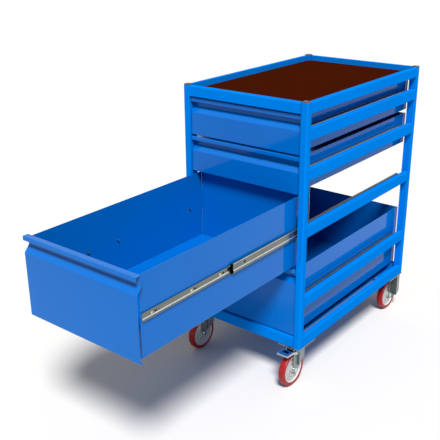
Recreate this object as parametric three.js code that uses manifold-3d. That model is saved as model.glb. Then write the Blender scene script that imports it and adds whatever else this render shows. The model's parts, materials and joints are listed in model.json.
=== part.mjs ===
// Mobile workshop cabinet: a welded tube frame on four casters, with a recessed worktop panel and
// four drawers on three-part ball slides. Millimetres, +Z up, drawers open towards -Y.
// The origin is on the floor under the middle of the object as it stands with drawer 3 open.
import * as THREE from 'three';
import { mergeVertices } from 'three/addons/utils/BufferGeometryUtils.js';
import Module from 'manifold-3d';

const wasm = await Module();
wasm.setup();
const { Manifold, Mesh } = wasm;

// ---- driving dimensions ------------------------------------------------------------------
const GAP = 0.3;                 // clearance left between neighbouring solids
const FRAME_WIDTH = 490;
const FRAME_DEPTH = 775;
const FRAME_TOP = 1000;
const FRAME_BOTTOM = 156;        // underside of the frame, where the casters bolt on
const POST_SIZE = 24;
const POST_WALL = 2;
const POST_CORNER = 6;           // radius of the outer corner
const SEAM = 1.2;                // visible groove between a rail's end and a post
const RING_DEPTH = 24;           // top and bottom rails, as deep as the posts
const RAIL_DEPTH = 25;           // side rails that carry the slides
const RAIL_HEIGHT = 40;
const RAIL_WALL = 1.5;
const RAIL_EDGE = 3;             // rounding of a rail's outer edges
const REBATE_WIDTH = 8;          // step along a rail's inner top edge
const REBATE_DEPTH = 6.5;
const TOP_RAIL_HEIGHT = 36.5;
const TOP_LIP = 15;              // width of the rim that stands round the panel
const PANEL_RECESS = 19.5;
const PANEL_THICKNESS = 12;
const PANEL_GAP = 0.6;
const BASE_PAN_TOP = 159.5;      // sheet that closes the bottom frame, near its underside

const DRAWER_TRAVEL = 725;
const OPEN_DRAWER = 3;           // this drawer stands fully open
const SHEET = 1.5;
const BOX_HALF_WIDTH = 207.2;    // outer face of a drawer's side wall
const BOX_REAR = 378;            // closed position, measured from the frame's middle
const BACK_WALL_GAP = 1.5;       // open slot between a side wall and the back wall
const BACK_WALL_DROP = 1.5;      // the back wall's top edge below the side walls
const BACK_WALL_INSET = 0.5;
const FRONT_HALF_WIDTH = 218.5;
const FRONT_PLANE = -379.5;      // outer face of a closed drawer front
const FRONT_RISE = 3;            // front above the side walls
const TOP_FRONT_RISE = 7.5;      // the same on the top drawer
const FRONT_DROP = 4.5;          // front below the side walls
const BOTTOM_FRONT_DROP = 1;     // the same on the bottom drawer
const LIP_HEIGHT = 13;
const LIP_PROUD = 1;
const RECESS_DEPTH = 19;
const RECESS_TOP_LIP = 31;       // height of lip and recess back together
const RECESS_END = 51;           // where the slanted face meets the front plane
const BOTTOM_RETURN = 11;
const BOX_FRONT = FRONT_PLANE + RECESS_DEPTH + GAP;

// side wall bottom, side wall top and underside of the rail that carries the slide
const DRAWERS = [
  { number: 1, bottom: 836, top: 951.5, rail: 879, rise: TOP_FRONT_RISE, drop: FRONT_DROP },
  { number: 2, bottom: 707, top: 823, rail: 750, rise: FRONT_RISE, drop: FRONT_DROP },
  { number: 3, bottom: 453.5, top: 694, rail: 559, rise: FRONT_RISE, drop: FRONT_DROP },
  { number: 4, bottom: 199.5, top: 440, rail: 307.5, rise: FRONT_RISE, drop: BOTTOM_FRONT_DROP },
];

const SLIDE_RISE = 14.5;         // slide centre above the rail's underside
const SLIDE_SHEET = 1.4;
const OUTER_MEMBER = { height: 45, back: 219.6, front: 209.8, start: -365, end: 328 };
const MIDDLE_MEMBER = { height: 33, back: 216.4, front: 208.9, start: -350, end: 328 };

const WHEEL_RADIUS = 62.5;
const WHEEL_SIDES = 28;
const TREAD_WIDTH = 24;
const HUB_WIDTH = 26;
const CASTER_X = 202.5;
const SWIVEL_Y = -337.5;         // front casters' swivel axis, from the frame's middle
const FRONT_WHEEL_Y = -369.5;
const REAR_WHEEL_Y = 346;
const PLATE_WIDTH = 85;
const PLATE_LENGTH = 100;
const PLATE_THICKNESS = 4;
const REAR_PLATE_Y = 337.5;
const RACE_RADIUS = 30;
const RACE_BOTTOM = 144;
const CROWN_TOP = 143.6;
const CROWN_BOTTOM = 138;
const FORK_HALF_GAP = 13.5;
const FORK_SHEET = 2.8;
const AXLE_RADIUS = 4;
const AXLE_HALF_LENGTH = 20;
const BORE_RADIUS = 4.5;
const PEDAL_WIDTH = 44;
const PEDAL_TIP_Y = -426;
const PEDAL_PIVOT_Y = -363;
const PEDAL_PIVOT_Z = 128;
const PEDAL_RISE = 13;           // pedal's top above its pivot
const PEDAL_THICKNESS = 4;
const PEDAL_TREAD = 36;

// The open drawer reaches furthest forward and the rear wheels furthest back.
const FRONT_MOST = FRONT_PLANE - LIP_PROUD - DRAWER_TRAVEL;
const REAR_MOST = REAR_WHEEL_Y + WHEEL_RADIUS / Math.cos(Math.PI / WHEEL_SIDES);
const FRAME_Y = -(FRONT_MOST + REAR_MOST) / 2;

const halfWidth = FRAME_WIDTH / 2;
const halfDepth = FRAME_DEPTH / 2;
const SIDES = [['left', -1], ['right', 1]];

// ---- materials ---------------------------------------------------------------------------
const material = (color, roughness, metalness) =>
  new THREE.MeshStandardMaterial({ color, roughness, metalness });
const framePaint = material('#0a80e4', 0.32, 0.1);
const drawerPaint = material('#2a70d0', 0.35, 0.1);
const zincSteel = material('#a9b2b2', 0.35, 0.9);
const slideSteel = material('#b9bdbb', 0.3, 0.95);
const wheelTread = material('#a8242c', 0.5, 0);
const panelBoard = material('#40140a', 0.45, 0);
const pedalBlue = material('#0a5cb4', 0.45, 0.1);

// ---- helpers -----------------------------------------------------------------------------
const part = new THREE.Group();
const frame = new THREE.Group();
frame.position.y = FRAME_Y;
part.add(frame);

function addMesh(parent, name, geometry, look, x = 0, y = 0, z = 0) {
  const mesh = new THREE.Mesh(geometry, look);
  mesh.name = name;
  mesh.position.set(x, y, z);
  parent.add(mesh);
  return mesh;
}

function toSolid(geometry) {
  const plain = geometry.clone();
  plain.deleteAttribute('normal');
  plain.deleteAttribute('uv');
  const merged = mergeVertices(plain, 1e-4);
  return new Manifold(new Mesh({
    numProp: 3,
    vertProperties: new Float32Array(merged.attributes.position.array),
    triVerts: new Uint32Array(merged.index.array),
  }));
}

function toGeometry(solid) {
  const mesh = solid.getMesh();
  const geometry = new THREE.BufferGeometry();
  geometry.setAttribute('position', new THREE.BufferAttribute(mesh.vertProperties, 3));
  geometry.setIndex(new THREE.BufferAttribute(mesh.triVerts, 1));
  return geometry.toNonIndexed();
}

const join = (solids) => solids.reduce((sum, solid) => sum.add(solid));

function outline(points, holes = []) {
  const shape = new THREE.Shape(points.map(([x, y]) => new THREE.Vector2(x, y)));
  for (const hole of holes) shape.holes.push(new THREE.Path(hole.map(([x, y]) => new THREE.Vector2(x, y))));
  return shape;
}

function prism(shape, length, curveSegments = 4) {
  return new THREE.ExtrudeGeometry(shape, { depth: length, bevelEnabled: false, curveSegments });
}

// A prism whose outline is drawn in x and z and which runs along +Y from y = start.
function prismAlongY(shape, start, length) {
  const geometry = prism(shape, length);
  geometry.rotateX(Math.PI / 2);
  geometry.translate(0, start + length, 0);
  return geometry;
}

// A prism whose outline is drawn in y and z and which runs along +X from x = start.
function prismAlongX(shape, start, length) {
  const geometry = prism(shape, length);
  geometry.applyMatrix4(new THREE.Matrix4().makeBasis(
    new THREE.Vector3(0, 1, 0), new THREE.Vector3(0, 0, 1), new THREE.Vector3(1, 0, 0)));
  geometry.translate(start, 0, 0);
  return geometry;
}

function box(x0, x1, y0, y1, z0, z1) {
  const geometry = new THREE.BoxGeometry(x1 - x0, y1 - y0, z1 - z0);
  geometry.translate((x0 + x1) / 2, (y0 + y1) / 2, (z0 + z1) / 2);
  return geometry;
}

function cylinder(radius, length, sides) {
  return new THREE.CylinderGeometry(radius, radius, length, sides);
}

// A copy of a closed geometry mirrored in x, with its faces still pointing out.
function mirroredX(geometry) {
  const copy = geometry.index ? geometry.toNonIndexed() : geometry.clone();
  copy.deleteAttribute('normal');
  copy.deleteAttribute('uv');
  const position = copy.attributes.position;
  for (let i = 0; i < position.count; i += 3) {
    const corner = [0, 1, 2].map((k) => new THREE.Vector3().fromBufferAttribute(position, i + k));
    [corner[0], corner[2], corner[1]].forEach((v, k) => position.setXYZ(i + k, -v.x, v.y, v.z));
  }
  return copy;
}

// ---- frame -------------------------------------------------------------------------------
// Section of the front right post: outer corner at (halfWidth, -halfDepth).
function postShape() {
  const s = POST_SIZE;
  const shape = new THREE.Shape();
  shape.moveTo(0, SEAM);
  shape.lineTo(SEAM, 0);
  shape.lineTo(s - POST_CORNER, 0);
  shape.absarc(s - POST_CORNER, POST_CORNER, POST_CORNER, -Math.PI / 2, 0, false);
  shape.lineTo(s, s - SEAM);
  shape.lineTo(s - SEAM, s);
  shape.lineTo(0, s);
  const w = POST_WALL;
  shape.holes.push(new THREE.Path([
    [w, w], [w, s - w], [s - w, s - w], [s - w, w * 2], [s - w * 2, w],
  ].map(([x, y]) => new THREE.Vector2(x, y))));
  return shape;
}

function addPosts() {
  const right = prism(postShape(), FRAME_TOP - FRAME_BOTTOM);
  right.translate(halfWidth - POST_SIZE, -halfDepth, FRAME_BOTTOM);
  const left = mirroredX(right);
  for (const [side, geometry] of [['left', left], ['right', right]]) {
    addMesh(frame, `post_front_${side}`, geometry, framePaint);
  }
  // A half turn about Z takes a front post to the opposite rear corner.
  for (const [side, geometry] of [['left', right], ['right', left]]) {
    addMesh(frame, `post_rear_${side}`, geometry.clone().rotateZ(Math.PI), framePaint);
  }
}

// Outer edge of a rail section from its bottom to its top, with eased corners.
function easedEdge(height) {
  const e = RAIL_EDGE;
  return [[e, height], [e * 0.3, height - e * 0.3], [0, height - e], [0, e], [e * 0.3, e * 0.3], [e, 0]];
}

// Tube section with a stepped inner top edge, x from the outer face (0) inwards.
function tubeShape(depth) {
  const w = RAIL_WALL;
  const h = RAIL_HEIGHT;
  const step = depth - REBATE_WIDTH;
  const ledge = h - REBATE_DEPTH;
  return outline(
    [...easedEdge(h), [depth, 0], [depth, ledge], [step, ledge], [step, h]],
    [[[RAIL_EDGE, w], [w, RAIL_EDGE], [w, h - RAIL_EDGE], [RAIL_EDGE, h - w], [step - w, h - w],
      [step - w, ledge - w], [depth - w, ledge - w], [depth - w, w]]]);
}

// Top rail section: an upstanding rim round the panel and a flange below that carries it.
function topRailShape() {
  const h = TOP_RAIL_HEIGHT;
  const ledge = h - PANEL_RECESS - PANEL_THICKNESS - PANEL_GAP;
  return outline([
    ...easedEdge(h), [RING_DEPTH, 0], [RING_DEPTH, ledge], [TOP_LIP, ledge], [TOP_LIP, h]]);
}

// Places a rail, drawn as a section with its outer face at x = 0, along one side of the frame.
function addRail(name, shape, side, z) {
  const alongSide = side === 'left' || side === 'right';
  const span = (alongSide ? FRAME_DEPTH : FRAME_WIDTH) - 2 * (POST_SIZE + GAP);
  const geometry = prismAlongY(shape, -span / 2, span);
  geometry.translate(-(alongSide ? halfWidth : halfDepth), 0, z);
  const turns = { left: 0, front: 1, right: 2, rear: 3 };
  geometry.rotateZ(turns[side] * Math.PI / 2);
  addMesh(frame, name, geometry, framePaint);
}

function addRails() {
  for (const side of ['front', 'rear', 'left', 'right']) {
    addRail(`top_rail_${side}`, topRailShape(), side, FRAME_TOP - TOP_RAIL_HEIGHT);
    addRail(`bottom_rail_${side}`, tubeShape(RING_DEPTH), side, FRAME_BOTTOM);
  }
  for (const drawer of DRAWERS) {
    for (const [side] of SIDES) {
      addRail(`side_rail_${drawer.number}_${side}`, tubeShape(RAIL_DEPTH), side, drawer.rail);
    }
  }
}

// The worktop board, with its corners cut away round the posts.
function addPanel() {
  const x = halfWidth - TOP_LIP - PANEL_GAP;
  const y = halfDepth - TOP_LIP - PANEL_GAP;
  const notch = POST_SIZE - TOP_LIP;
  const top = FRAME_TOP - PANEL_RECESS;
  const corners = [[1, 1], [-1, 1], [-1, -1], [1, -1]];
  const points = corners.flatMap(([i, j]) => {
    const cut = [[i * x, j * (y - notch)], [i * (x - notch), j * (y - notch)], [i * (x - notch), j * y]];
    return i * j > 0 ? cut : cut.reverse();
  });
  const board = prism(outline(points), PANEL_THICKNESS);
  addMesh(frame, 'top_panel', board, panelBoard, 0, 0, top - PANEL_THICKNESS);
}

// Flat sheet between the four bottom rails.
function addBasePan() {
  const x = halfWidth - RING_DEPTH - GAP;
  const y = halfDepth - RING_DEPTH - GAP;
  addMesh(frame, 'base_pan', box(-x, x, -y, y, BASE_PAN_TOP - SHEET, BASE_PAN_TOP), framePaint);
}

// ---- drawers -----------------------------------------------------------------------------
// Section of a tray in x and z: floor and two side walls.
function trayShape(bottom, top) {
  const outer = BOX_HALF_WIDTH;
  const inner = outer - SHEET;
  return outline([
    [-outer, bottom], [outer, bottom], [outer, top], [inner, top], [inner, bottom + SHEET],
    [-inner, bottom + SHEET], [-inner, top], [-outer, top]]);
}

// A tray with its separate back wall, which stops short of the side walls.
function trayGeometry(bottom, top) {
  const sides = prismAlongY(trayShape(bottom, top), BOX_FRONT, BOX_REAR - BOX_FRONT);
  const half = BOX_HALF_WIDTH - SHEET - BACK_WALL_GAP;
  const rear = BOX_REAR - BACK_WALL_INSET;
  const back = box(-half, half, rear - SHEET, rear, bottom + SHEET / 2, top - BACK_WALL_DROP);
  return toGeometry(toSolid(sides).add(toSolid(back)));
}

// Section of a drawer front in y and z: hooked lip, finger recess, slanted face, panel, return.
function frontShape(bottom, top) {
  const y = FRONT_PLANE;
  const t = SHEET;
  const lip = y - LIP_PROUD;
  const recess = y + RECESS_DEPTH;
  const slant = top - RECESS_TOP_LIP;
  const plane = top - RECESS_END;
  return outline([
    [lip, top - LIP_HEIGHT], [lip + t, top - LIP_HEIGHT], [lip + t, top - t],
    [recess - t, top - t], [recess - t, slant], [y, plane], [y, bottom],
    [y + BOTTOM_RETURN, bottom], [y + BOTTOM_RETURN, bottom + t], [y + t, bottom + t],
    [y + t, plane], [recess, slant], [recess, top - t], [recess, top], [lip, top],
  ]);
}

function addDrawer(drawer) {
  const group = new THREE.Group();
  group.position.y = drawer.number === OPEN_DRAWER ? -DRAWER_TRAVEL : 0;
  frame.add(group);
  const shape = frontShape(drawer.bottom - drawer.drop, drawer.top + drawer.rise);
  const front = prismAlongX(shape, -FRONT_HALF_WIDTH, 2 * FRONT_HALF_WIDTH);
  addMesh(group, `drawer_${drawer.number}_tray`, trayGeometry(drawer.bottom, drawer.top), drawerPaint);
  addMesh(group, `drawer_${drawer.number}_front`, front, drawerPaint);
}

// ---- slides ------------------------------------------------------------------------------
// C section of one slide member on the right-hand side: web against the rail, open to the drawer.
function memberShape({ height, back, front }) {
  const h = height / 2;
  const t = SLIDE_SHEET;
  return outline([
    [front, h - t], [front + t, h], [back - t, h], [back, h - t], [back, t - h], [back - t, -h],
    [front + t, -h], [front, t - h], [front + t, t - h], [back - t, t - h], [back - t, h - t],
    [front + t, h - t]]);
}

function addSlideMember(name, member, side, drawer, shift) {
  const right = prismAlongY(memberShape(member), member.start, member.end - member.start);
  const geometry = side === 'left' ? mirroredX(right) : right;
  addMesh(frame, name, geometry, slideSteel, 0, shift, drawer.rail + SLIDE_RISE);
}

// The middle member runs out half as far as its drawer.
function addSlides(drawer) {
  const half = drawer.number === OPEN_DRAWER ? -DRAWER_TRAVEL / 2 : 0;
  for (const [side] of SIDES) {
    const stem = `slide_${drawer.number}_${side}`;
    addSlideMember(`${stem}_outer`, OUTER_MEMBER, side, drawer, 0);
    addSlideMember(`${stem}_middle`, MIDDLE_MEMBER, side, drawer, half);
  }
}

// ---- casters -----------------------------------------------------------------------------
// Wheel profile from the bore outwards: hub, web, rim and tread.
function wheelGeometry() {
  const tread = TREAD_WIDTH / 2;
  const hub = HUB_WIDTH / 2;
  const corner = WHEEL_RADIUS / Math.cos(Math.PI / WHEEL_SIDES);
  const half = [[BORE_RADIUS, hub], [13, hub], [15, 4], [45, 4], [47, tread - 2], [51.5, tread - 1],
    [55, tread], [corner - 2.5, tread], [corner, tread - 3]];
  const other = half.map(([r, w]) => [r, -w]).reverse();
  const loop = [...half, ...other, half[0]].reverse();
  const geometry = new THREE.LatheGeometry(
    loop.map(([r, w]) => new THREE.Vector2(r, w)), WHEEL_SIDES, Math.PI / WHEEL_SIDES);
  geometry.rotateZ(-Math.PI / 2);
  return geometry;
}

// Side view of a fork leg round the axle (y, z from the axle): a leg with a round end and a wing,
// whose lower edge rises from wingLow at the leg to wingHigh at the rear.
function legSilhouette(height, wingRear, wingLow, wingHigh) {
  const shape = new THREE.Shape();
  const legFront = -9;
  const legRear = 16;
  shape.moveTo(legFront, height);
  shape.lineTo(legFront, 0);
  shape.absarc(1, 0, 10, Math.PI, Math.PI * 1.75, false);
  shape.lineTo(legRear, wingLow);
  shape.lineTo(wingRear, wingHigh);
  shape.lineTo(wingRear, height);
  return shape;
}

// Plan view of the right-hand cheek: flat leg, step outwards, then the wing.
function cheekPlan(flare, wingStart, wingRear) {
  const inner = FORK_HALF_GAP;
  const outer = FORK_HALF_GAP + FORK_SHEET;
  const step = FORK_SHEET * 0.5;
  return outline([
    [inner, -12], [outer, -12], [outer, wingStart - step], [outer + flare, wingStart + step],
    [outer + flare, wingRear + 1], [inner + flare, wingRear + 1],
    [inner + flare, wingStart + step + FORK_SHEET], [inner, wingStart - step + FORK_SHEET]]);
}

// Both cheeks with their axle bolt, centred on the axle; top is the height above the axle.
function cheeks(top, flare, wingStart, wingRear, wingLow, wingHigh) {
  const plan = prism(cheekPlan(flare, wingStart, wingRear), top + 20);
  plan.translate(0, 0, -20);
  const view = legSilhouette(top, wingRear, wingLow, wingHigh);
  const right = toSolid(plan).intersect(toSolid(prismAlongX(view, 0, 60)));
  const left = toSolid(mirroredX(toGeometry(right)));
  const bolt = cylinder(AXLE_RADIUS, 2 * AXLE_HALF_LENGTH, 12).rotateZ(Math.PI / 2);
  return [right, left, toSolid(bolt)];
}

function mountingPlate(y) {
  return box(-PLATE_WIDTH / 2, PLATE_WIDTH / 2, y - PLATE_LENGTH / 2, y + PLATE_LENGTH / 2,
    FRAME_BOTTOM - GAP - PLATE_THICKNESS, FRAME_BOTTOM - GAP);
}

// Plate and upper bearing race of a swivel caster, fixed to the frame.
function swivelPlate() {
  const height = FRAME_BOTTOM - GAP - PLATE_THICKNESS - RACE_BOTTOM;
  const race = cylinder(RACE_RADIUS, height + 1, 24).rotateX(Math.PI / 2);
  race.translate(0, 0, RACE_BOTTOM + (height + 1) / 2);
  return toGeometry(toSolid(mountingPlate(0)).add(toSolid(race)));
}

// Swivel fork, drawn about its swivel axis; the wheel trails towards -Y.
function swivelFork() {
  const trail = FRONT_WHEEL_Y - SWIVEL_Y;
  const flare = 6;
  const parts = cheeks(CROWN_BOTTOM + 1 - WHEEL_RADIUS, flare, 16, 50, 12, 34)
    .map((solid) => solid.translate(0, trail, WHEEL_RADIUS));
  const crown = cylinder(RACE_RADIUS + 1, CROWN_TOP - CROWN_BOTTOM, 24).rotateX(Math.PI / 2);
  crown.translate(0, 0, (CROWN_TOP + CROWN_BOTTOM) / 2);
  const half = FORK_HALF_GAP + FORK_SHEET;
  const bridge = box(-half, half, trail - 9, 18, CROWN_BOTTOM, CROWN_TOP);
  return toGeometry(join([...parts, toSolid(crown), toSolid(bridge)]));
}

// Fixed fork, drawn about the axle's place in plan; plate and cheeks are one pressing.
function fixedFork() {
  const flare = 20;
  const plateY = REAR_PLATE_Y - REAR_WHEEL_Y;
  const parts = cheeks(FRAME_BOTTOM - GAP - PLATE_THICKNESS + 1 - WHEEL_RADIUS, flare, 18, 40, -6, 8)
    .map((solid) => solid.translate(0, 0, WHEEL_RADIUS));
  return toGeometry(join([...parts, toSolid(mountingPlate(plateY))]));
}

// Brake pedal: two arms from the pivot and a flat tread at the tip, drawn about the pivot.
function brakePedal() {
  const tip = PEDAL_TIP_Y - PEDAL_PIVOT_Y;
  const half = PEDAL_WIDTH / 2;
  const armWidth = 3;
  const under = PEDAL_RISE - PEDAL_THICKNESS;
  const view = outline([
    [tip, under], [tip + PEDAL_TREAD, under - 3], [-2, -7], [3, -6], [5, -2], [4, 3], [0, 6],
    [tip + PEDAL_TREAD + 8, under], [tip + PEDAL_TREAD, PEDAL_RISE], [tip, PEDAL_RISE]]);
  const arm = toSolid(prismAlongX(view, half - armWidth, armWidth));
  const otherArm = toSolid(prismAlongX(view, -half, armWidth));
  const tread = toSolid(box(-half, half, tip, tip + PEDAL_TREAD, under, PEDAL_RISE));
  const slot = toSolid(box(-8, 8, tip + 18, tip + 29, under - 1, PEDAL_RISE + 1));
  return toGeometry(join([tread, arm, otherArm]).subtract(slot));
}

function addCasters() {
  const wheel = wheelGeometry();
  const swivel = { plate: swivelPlate(), fork: swivelFork(), pedal: brakePedal() };
  const fixed = fixedFork();
  for (const [side, sign] of SIDES) {
    const x = sign * CASTER_X;
    addMesh(frame, `caster_plate_front_${side}`, swivel.plate, zincSteel, x, SWIVEL_Y);
    addMesh(frame, `caster_fork_front_${side}`, swivel.fork, zincSteel, x, SWIVEL_Y);
    addMesh(frame, `caster_wheel_front_${side}`, wheel, wheelTread, x, FRONT_WHEEL_Y, WHEEL_RADIUS);
    addMesh(frame, `brake_pedal_front_${side}`, swivel.pedal, pedalBlue, x, PEDAL_PIVOT_Y, PEDAL_PIVOT_Z);
    addMesh(frame, `caster_fork_rear_${side}`, fixed, zincSteel, x, REAR_WHEEL_Y);
    addMesh(frame, `caster_wheel_rear_${side}`, wheel, wheelTread, x, REAR_WHEEL_Y, WHEEL_RADIUS);
  }
}

// ---- assembly ----------------------------------------------------------------------------
addPosts();
addRails();
addPanel();
addBasePan();
for (const drawer of DRAWERS) {
  addDrawer(drawer);
  addSlides(drawer);
}
addCasters();

export default part;
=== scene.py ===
"""Looks of the mobile workshop bench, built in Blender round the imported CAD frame. Metres, +Z up."""
import json
import math

import bmesh
import bpy
from mathutils import Matrix, Vector


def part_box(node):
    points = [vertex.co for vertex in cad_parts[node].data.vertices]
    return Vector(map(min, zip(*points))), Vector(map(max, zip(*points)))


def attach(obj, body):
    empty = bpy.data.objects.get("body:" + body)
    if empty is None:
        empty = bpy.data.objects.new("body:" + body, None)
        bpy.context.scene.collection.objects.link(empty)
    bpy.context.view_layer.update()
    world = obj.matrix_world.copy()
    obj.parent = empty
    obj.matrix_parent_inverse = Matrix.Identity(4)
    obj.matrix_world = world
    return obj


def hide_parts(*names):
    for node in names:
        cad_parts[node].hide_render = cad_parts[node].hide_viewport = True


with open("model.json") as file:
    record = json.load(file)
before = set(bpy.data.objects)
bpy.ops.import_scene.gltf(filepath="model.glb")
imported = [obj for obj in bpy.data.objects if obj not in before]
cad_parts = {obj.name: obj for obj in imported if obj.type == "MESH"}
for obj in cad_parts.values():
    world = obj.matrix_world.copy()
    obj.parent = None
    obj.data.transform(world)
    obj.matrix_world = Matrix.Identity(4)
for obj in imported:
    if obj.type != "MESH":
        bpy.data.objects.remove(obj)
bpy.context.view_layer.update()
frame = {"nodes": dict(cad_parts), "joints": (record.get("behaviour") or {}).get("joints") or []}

MM = 0.001
SIDES = (("left", -1), ("right", 1))
DRAWERS = (1, 2, 3, 4)
OPEN_DRAWER = 3

# ---- places taken from the frame --------------------------------------------------------------
post_low, post_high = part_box("post_front_right")
FRAME_X = post_high.x
FRONT_Y = post_low.y
REAR_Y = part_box("post_rear_right")[1].y
MIDDLE_Y = (FRONT_Y + REAR_Y) / 2
FRAME_TOP = post_high.z
FRAME_BOTTOM = post_low.z
POST = post_high.x - post_low.x
TRAVEL = next(j for j in frame["joints"] if j["name"] == "drawer_1_slide")["range_m"][1]


def drawer_shift(number):
    """How far a drawer stands from its closed place at rest, along Y."""
    return -TRAVEL if number == OPEN_DRAWER else 0.0


def frame_y(from_middle):
    """A place along Y counted from the frame's middle."""
    return MIDDLE_Y + from_middle


# ---- camera -------------------------------------------------------------------------------------
# yaw to the left of +Y, pitch downwards, roll about the line of sight
CAMERA_PLACE = (1.3981, -1.8968, 1.4874)
CAMERA_YAW = math.radians(38.7469)
CAMERA_PITCH = math.radians(21.503)
CAMERA_ROLL = math.radians(-0.5118)
CAMERA_LENS = 60.80
CAMERA_SENSOR = 36.0


def make_camera():
    data = bpy.data.cameras.new("camera")
    data.lens = CAMERA_LENS
    data.sensor_width = CAMERA_SENSOR
    camera = bpy.data.objects.new("camera", data)
    bpy.context.scene.collection.objects.link(camera)
    forward = Vector((
        -math.sin(CAMERA_YAW) * math.cos(CAMERA_PITCH),
        math.cos(CAMERA_YAW) * math.cos(CAMERA_PITCH),
        -math.sin(CAMERA_PITCH)))
    right = forward.cross(Vector((0, 0, 1))).normalized()
    up = right.cross(forward)
    rolled_right = math.cos(CAMERA_ROLL) * right + math.sin(CAMERA_ROLL) * up
    rolled_up = rolled_right.cross(forward)
    axes = Matrix((rolled_right, rolled_up, -forward)).transposed()
    camera.matrix_world = Matrix.Translation(CAMERA_PLACE) @ axes.to_4x4()
    bpy.context.scene.camera = camera


# ---- materials ----------------------------------------------------------------------------------
# cosines of the angle between the true and the rounded normal, on an edge and off it
EDGE_COSINES = (0.75, 0.98)


def srgb(red, green, blue):
    """A linear colour from display values between 0 and 255."""
    def linear(value):
        value /= 255
        return value / 12.92 if value <= 0.04045 else ((value + 0.055) / 1.055) ** 2.4
    return tuple(linear(v) for v in (red, green, blue)) + (1.0,)


class Nodes:
    """A small helper round one material's node tree."""

    def __init__(self, name):
        self.material = bpy.data.materials.new(name)
        self.material.use_nodes = True
        self.tree = self.material.node_tree
        self.shader = self.tree.nodes["Principled BSDF"]
        self.place = self.add("ShaderNodeTexCoord").outputs["Object"]

    def add(self, kind, **values):
        node = self.tree.nodes.new(kind)
        for key, value in values.items():
            setattr(node, key, value)
        return node

    def link(self, source, target):
        self.tree.links.new(source, target)

    def noise(self, scale, detail=3.0, stretch=(1, 1, 1)):
        mapping = self.add("ShaderNodeMapping")
        mapping.inputs["Scale"].default_value = stretch
        self.link(self.place, mapping.inputs["Vector"])
        noise = self.add("ShaderNodeTexNoise")
        noise.inputs["Scale"].default_value = scale
        noise.inputs["Detail"].default_value = detail
        self.link(mapping.outputs["Vector"], noise.inputs["Vector"])
        return noise.outputs["Fac"]

    def ramp(self, factor, low, high, start=0.3, end=0.7):
        ramp = self.add("ShaderNodeMapRange")
        ramp.inputs["From Min"].default_value = start
        ramp.inputs["From Max"].default_value = end
        ramp.inputs["To Min"].default_value = low
        ramp.inputs["To Max"].default_value = high
        self.link(factor, ramp.inputs["Value"])
        return ramp.outputs["Result"]

    def blend(self, factor, first, second):
        mix = self.add("ShaderNodeMix", data_type="RGBA")
        self.link(factor, mix.inputs["Factor"])
        for value, socket in ((first, mix.inputs[6]), (second, mix.inputs[7])):
            if isinstance(value, tuple):
                socket.default_value = value
            else:
                self.link(value, socket)
        return mix.outputs[2]

    def bump(self, height, distance, strength):
        bump = self.add("ShaderNodeBump")
        bump.inputs["Strength"].default_value = strength
        bump.inputs["Distance"].default_value = distance
        self.link(height, bump.inputs["Height"])
        return bump.outputs["Normal"]

    def edges(self, radius):
        """One along sharp outer edges and nought elsewhere."""
        bevel = self.add("ShaderNodeBevel", samples=4)
        bevel.inputs["Radius"].default_value = radius
        dot = self.add("ShaderNodeVectorMath", operation="DOT_PRODUCT")
        self.link(bevel.outputs["Normal"], dot.inputs[0])
        self.link(self.add("ShaderNodeNewGeometry").outputs["Normal"], dot.inputs[1])
        return self.ramp(dot.outputs["Value"], 1.0, 0.0, *EDGE_COSINES)

    def set(self, **values):
        for key, value in values.items():
            self.shader.inputs[key.replace("_", " ")].default_value = value

    def feed(self, socket, name):
        self.link(socket, self.shader.inputs[name])


def scaled(color, factor):
    return tuple(min(1.0, c * factor) for c in color[:3]) + (1.0,)


def paint(name, color, roughness, specular, edge_color):
    """Powder coat: faint orange peel, slow colour drift, thinner and paler along edges."""
    n = Nodes(name)
    drift = n.ramp(n.noise(3.5, 2.0), 0.0, 1.0)
    body = n.blend(drift, scaled(color, 0.97), scaled(color, 1.03))
    edge = n.ramp(n.edges(1.2 * MM), 0.0, 0.35, 0.0, 1.0)
    n.feed(n.blend(edge, body, edge_color), "Base Color")
    n.feed(n.ramp(n.noise(55.0, 4.0), roughness * 0.85, roughness * 1.2), "Roughness")
    n.feed(n.bump(n.noise(420.0, 2.0), 0.035 * MM, 0.5), "Normal")
    n.set(Specular_IOR_Level=specular)
    return n.material


def metal(name, color, roughness, stretch=(1, 1, 1), metallic=0.9, burnish_and_highlight=1.5):
    """Plated steel: cloudy zinc tone, fine rolling lines, uneven gloss, edges paler: burnish and a painted
    highlight.
    """
    n = Nodes(name)
    cloud = n.ramp(n.noise(22.0, 5.0), 0.0, 1.0)
    body = n.blend(cloud, scaled(color, 0.9), scaled(color, 1.08))
    n.feed(n.blend(n.edges(1.3 * MM), body, scaled(color, burnish_and_highlight)), "Base Color")
    lines = n.noise(600.0, 3.0, stretch)
    n.feed(n.ramp(lines, roughness * 0.7, roughness * 1.35), "Roughness")
    n.feed(n.bump(lines, 0.02 * MM, 0.6), "Normal")
    n.set(Metallic=metallic)
    return n.material


def plastic(name, color, roughness, specular=0.5):
    """Moulded plastic: fine spark-eroded grain and scuffed, paler high spots."""
    n = Nodes(name)
    scuff = n.ramp(n.noise(38.0, 6.0), 0.0, 1.0, 0.45, 0.8)
    n.feed(n.blend(scuff, color, scaled(color, 1.25)), "Base Color")
    n.feed(n.ramp(n.noise(70.0, 3.0), roughness * 0.85, roughness * 1.2), "Roughness")
    n.feed(n.bump(n.noise(900.0, 2.0), 0.03 * MM, 0.6), "Normal")
    n.set(Specular_IOR_Level=specular)
    return n.material


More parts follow.
